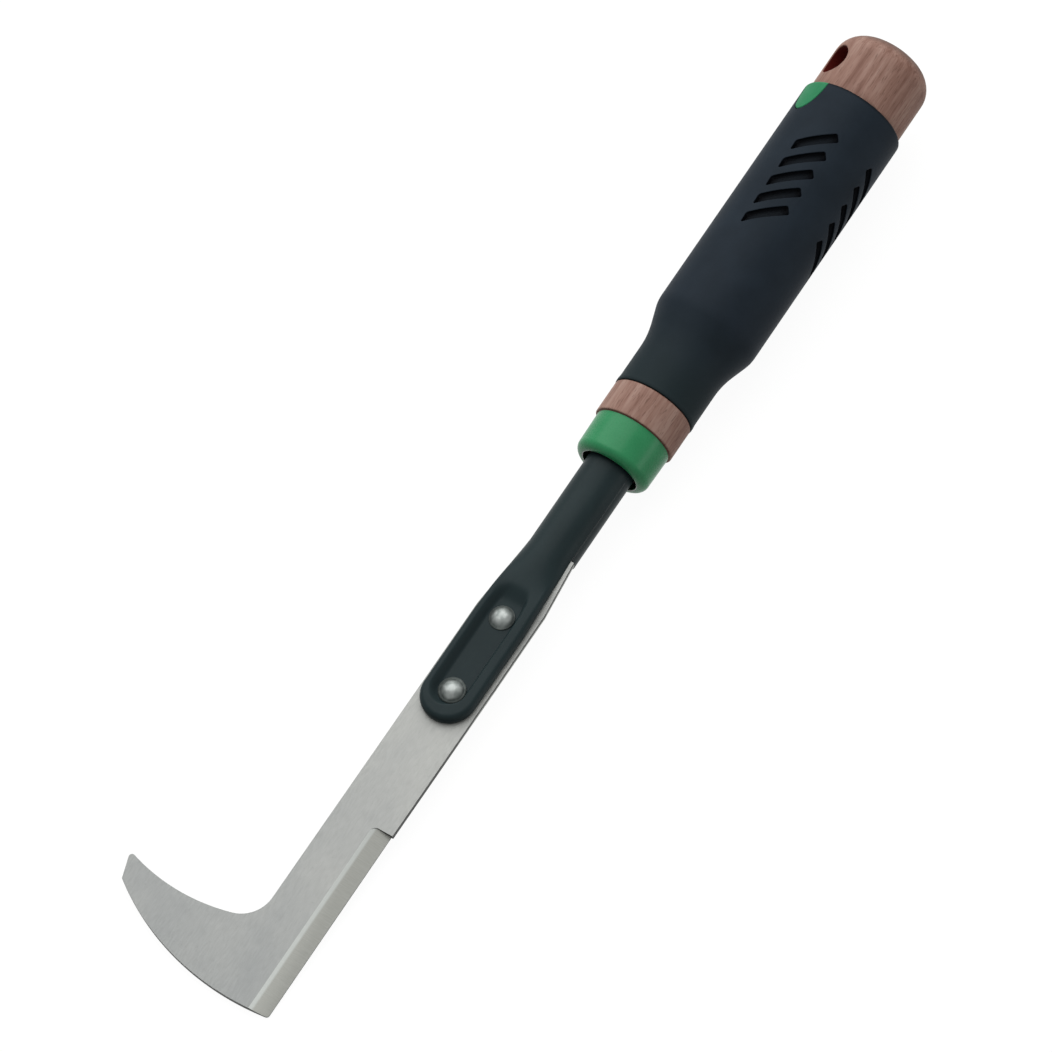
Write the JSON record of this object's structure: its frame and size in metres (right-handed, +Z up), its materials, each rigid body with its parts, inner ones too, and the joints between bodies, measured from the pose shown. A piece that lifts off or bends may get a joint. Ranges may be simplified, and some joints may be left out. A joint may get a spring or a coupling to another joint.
{
  "type": "joint scraper",
  "caption": "Hooked joint scraper: a flat steel blade riveted to a pressed tube shank, in a turned wooden handle with a ferrule and a rubber grip.",
  "frame": {"origin": "middle of the tool's box on the surface it lies on, with the riveted side up", "axes": "+X from the blade's end to the butt, +Y to the side that the hook points to, +Z up"},
  "size_m": [0.3594, 0.0707, 0.0395],
  "materials": {
    "blade_steel": "satin, with a ground edge",
    "tube_lacquer": "satin black",
    "rivet_steel": "satin",
    "ferrule_lacquer": "gloss green",
    "handle_wood": "oiled red-brown",
    "pin_steel": "plain",
    "grip_rubber": "satin blue-black",
    "inlay_rubber": "satin green"
  },
  "bodies": {
    "root": {"blade": "blade_steel", "shank_tube": "tube_lacquer", "blade_rivets": "rivet_steel", "ferrule": "ferrule_lacquer", "wooden_handle": "handle_wood", "retaining_pin": "pin_steel", "grip_sleeve": "grip_rubber", "grip_inlay": "inlay_rubber"}
  },
  "joints": []
}
